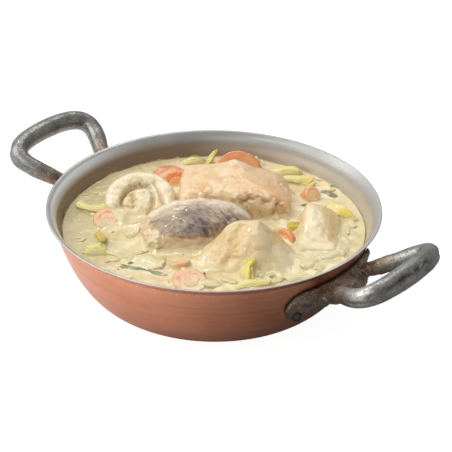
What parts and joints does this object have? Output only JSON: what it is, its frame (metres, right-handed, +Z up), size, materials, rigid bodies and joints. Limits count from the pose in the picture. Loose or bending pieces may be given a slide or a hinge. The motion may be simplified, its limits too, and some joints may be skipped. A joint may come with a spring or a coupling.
{
  "type": "pan of fish stew",
  "caption": "Round two-handled copper pan holding a cream stew with pieces of white fish, a rolled fillet, carrot slices and leek.",
  "frame": {"origin": "middle of the pan's flat base, on the surface it stands on", "axes": "+Z up; +X through one handle, with the other handle on -X; +Y across the handles"},
  "size_m": [0.2892, 0.2, 0.0654],
  "materials": {
    "copper": "satin copper outside, dull tin lining inside and on the lip",
    "iron": "rough grey cast iron, rusty brown at the flange",
    "sauce": "cream sauce with a wet sheen",
    "white_fish": "moist flaky white fish",
    "fish_skin": "grey fish skin over pale flesh",
    "browned_fish": "peach fish browned in patches",
    "carrot": "moist orange carrot",
    "pale_carrot": "carrot under a film of sauce",
    "leek": "soft pale leek",
    "yellow_leek": "soft yellow leek",
    "green_leek": "soft green leek"
  },
  "bodies": {
    "root": {"front_fillet": "white_fish", "skin_fillet": "fish_skin", "browned_fillet": "browned_fish", "side_fillet": "white_fish", "rolled_fillet": "white_fish", "carrot_back": "carrot", "carrot_back_left": "carrot", "carrot_behind_roll": "carrot", "carrot_right": "carrot", "carrot_left": "pale_carrot", "carrot_front_thin": "carrot", "carrot_front": "pale_carrot", "carrot_beside_front": "carrot", "leek_crescent": "yellow_leek", "leek_pod": "yellow_leek", "leek_fold_left": "yellow_leek", "leek_slab": "green_leek", "leek_front_left": "leek", "leek_chunk": "leek", "leek_fold_front": "yellow_leek", "leek_strip_front": "yellow_leek", "leek_ring_front": "leek", "leek_arc_right": "leek", "leek_pale_right": "leek", "leek_curl_back": "green_leek", "leek_spike_back": "yellow_leek", "leek_behind": "leek", "leek_bunch_back": "leek", "leek_strip_back": "yellow_leek", "leek_yellow_right": "yellow_leek", "leek_middle": "leek", "leek_low_right": "leek", "leek_bud_right": "green_leek", "pan": "copper", "sauce": "sauce", "handle_right": "iron", "rivet_right_front": "iron", "rivet_right_back": "iron", "handle_left": "iron", "rivet_left_front": "iron", "rivet_left_back": "iron"}
  },
  "joints": []
}
